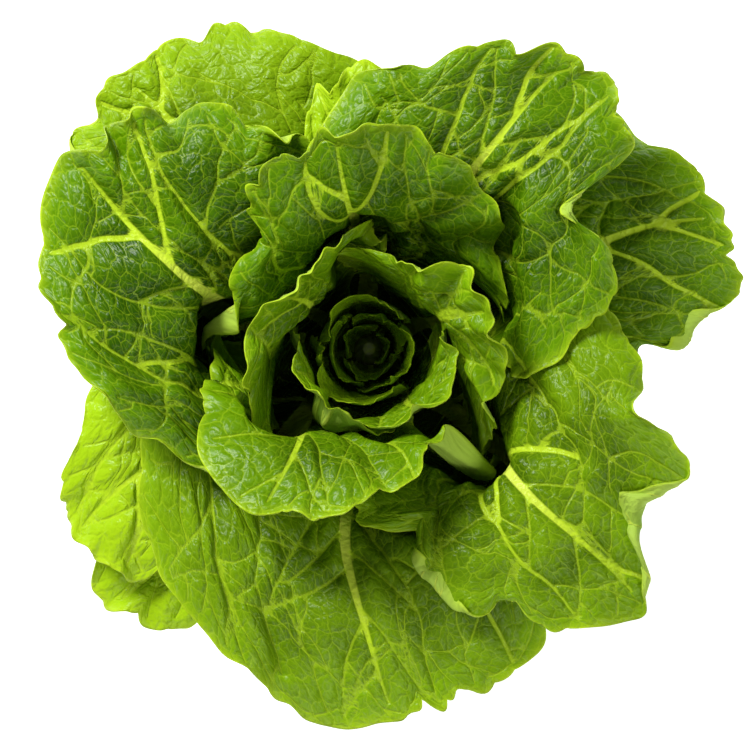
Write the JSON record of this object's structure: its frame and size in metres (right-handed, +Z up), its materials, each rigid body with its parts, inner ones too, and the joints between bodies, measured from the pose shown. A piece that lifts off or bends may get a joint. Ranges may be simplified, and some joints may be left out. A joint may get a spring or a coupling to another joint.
{
  "type": "romaine lettuce head",
  "caption": "Open head of romaine lettuce standing on its cut stem: broad crinkled outer leaves flared flat around a tall crown and a closed heart.",
  "frame": {"origin": "centre of the underside of the cut stem butt, where the head stands", "axes": "+Z up along the stem out of the open crown; +X and +Y across the head, the widest leaf reaching towards -Y"},
  "size_m": [0.2916, 0.2956, 0.1891],
  "materials": {
    "stem": "pale cut stem tissue, damp and slightly glossy",
    "heart_leaf": "thin pale yellow-green leaf",
    "leaf": "blistered glossy green leaf with pale ribs and margins"
  },
  "bodies": {
    "root": {"stem_core": "stem", "heart_leaf_1": "heart_leaf", "heart_leaf_2": "heart_leaf", "heart_leaf_3": "heart_leaf", "heart_leaf_4": "heart_leaf", "heart_leaf_5": "heart_leaf", "heart_leaf_6": "heart_leaf", "heart_leaf_7": "heart_leaf", "heart_leaf_8": "heart_leaf", "inner_leaf_1": "leaf", "inner_leaf_2": "leaf", "inner_leaf_3": "leaf", "inner_leaf_4": "leaf", "crown_leaf_1": "leaf", "crown_leaf_2": "leaf", "middle_leaf_1": "leaf", "middle_leaf_2": "leaf", "middle_leaf_3": "leaf", "outer_leaf_1": "leaf", "outer_leaf_2": "leaf", "outer_leaf_3": "leaf", "outer_leaf_4": "leaf", "outer_leaf_5": "leaf", "outer_leaf_6": "leaf", "outer_leaf_7": "leaf", "outer_leaf_8": "leaf"}
  },
  "joints": []
}
